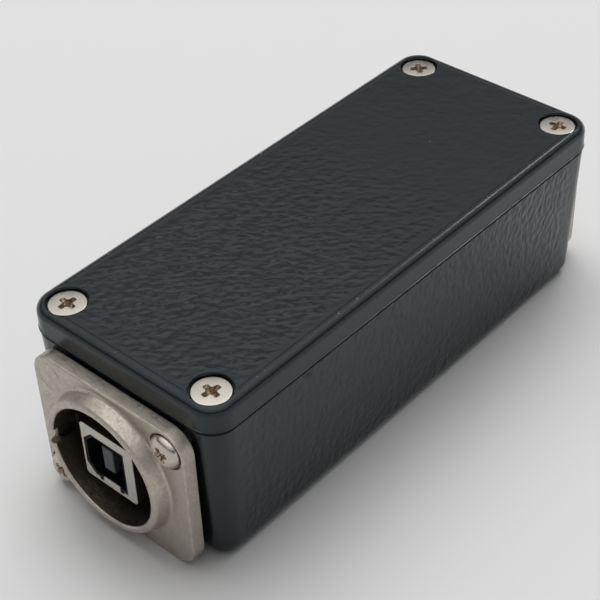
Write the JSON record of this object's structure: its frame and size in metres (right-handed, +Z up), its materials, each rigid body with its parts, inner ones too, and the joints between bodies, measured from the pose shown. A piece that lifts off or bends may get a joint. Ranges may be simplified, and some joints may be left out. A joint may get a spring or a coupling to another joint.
{
  "type": "direct injection box",
  "caption": "Small black diecast direct injection box with a screwed lid, a round-collared USB socket in one end and a balanced audio output in the other.",
  "frame": {"origin": "middle of the flat underside of the case", "axes": "+Z up towards the screwed lid, -Y out of the USB end, +Y out of the audio output end, +X to the right when facing the USB end from outside"},
  "size_m": [0.0384, 0.1028, 0.031],
  "materials": {
    "case_coat": "black textured powder coat on diecast aluminium",
    "nickel_housing": "dull nickel plate on diecast zinc",
    "screw_steel": "nickel plated steel",
    "black_rubber": "matt black rubber",
    "port_metal": "bright nickel plate",
    "bright_steel": "tin plated sheet",
    "black_moulding": "matt black moulded plastic",
    "white_moulding": "natural white moulded plastic",
    "contact_metal": "gold plated",
    "pin_metal": "silver plated brass",
    "solder": "tin solder",
    "board_laminate": "green solder mask on glass laminate",
    "nylon": "natural nylon",
    "core_steel": "varnished laminations",
    "winding_tape": "yellow polyester tape over copper wire",
    "chip_black": "black moulded package",
    "capacitor_sleeve": "dark shrink sleeve on an aluminium can",
    "film_box": "red moulded box",
    "lead_jacket": "soft black jacket",
    "red_wire": "red insulation",
    "white_wire": "white insulation",
    "black_wire": "black insulation"
  },
  "bodies": {
    "case": {"audio_chip": "chip_black", "board_spacers": "nylon", "chip_resistors": "chip_black", "circuit_board": "board_laminate", "cold_wire": "white_wire", "crystal_can": "bright_steel", "enclosure_body": "case_coat", "film_capacitors": "film_box", "ground_wire": "black_wire", "hot_wire": "red_wire", "internal_lead": "lead_jacket", "internal_plug_block": "white_moulding", "internal_plug_grip": "black_moulding", "internal_plug_shell": "bright_steel", "lead_header": "white_moulding", "output_gasket": "black_rubber", "output_header": "white_moulding", "output_housing": "nickel_housing", "output_housing_screws": "screw_steel", "output_insert": "black_moulding", "output_pins": "pin_metal", "smoothing_capacitors": "capacitor_sleeve", "solder_joints": "solder", "transformer_bobbin": "nylon", "transformer_core": "core_steel", "transformer_winding": "winding_tape", "usb_gasket": "black_rubber", "usb_housing": "nickel_housing", "usb_housing_screws": "screw_steel", "usb_insert_carrier": "black_moulding", "usb_port_contacts": "contact_metal", "usb_port_insulator": "black_moulding", "usb_port_shell": "port_metal", "usb_rear_port_shell": "bright_steel", "usb_rear_port_tongue": "white_moulding"},
    "lid": {"enclosure_lid": "case_coat"},
    "lid_screw_back_left_body": {"lid_screw_back_left": "screw_steel"},
    "lid_screw_back_right_body": {"lid_screw_back_right": "screw_steel"},
    "lid_screw_front_left_body": {"lid_screw_front_left": "screw_steel"},
    "lid_screw_front_right_body": {"lid_screw_front_right": "screw_steel"}
  },
  "joints": [
    {"name": "lid_lift", "type": "slide", "parent": "case", "child": "lid", "axis": [0, 0, 1], "range_m": [0, 0.03]},
    {"name": "screw_back_left_withdraw", "type": "slide", "parent": "lid", "child": "lid_screw_back_left_body", "axis": [0, 0, 1], "range_m": [0, 0.008]},
    {"name": "screw_back_right_withdraw", "type": "slide", "parent": "lid", "child": "lid_screw_back_right_body", "axis": [0, 0, 1], "range_m": [0, 0.008]},
    {"name": "screw_front_left_withdraw", "type": "slide", "parent": "lid", "child": "lid_screw_front_left_body", "axis": [0, 0, 1], "range_m": [0, 0.008]},
    {"name": "screw_front_right_withdraw", "type": "slide", "parent": "lid", "child": "lid_screw_front_right_body", "axis": [0, 0, 1], "range_m": [0, 0.008]}
  ]
}
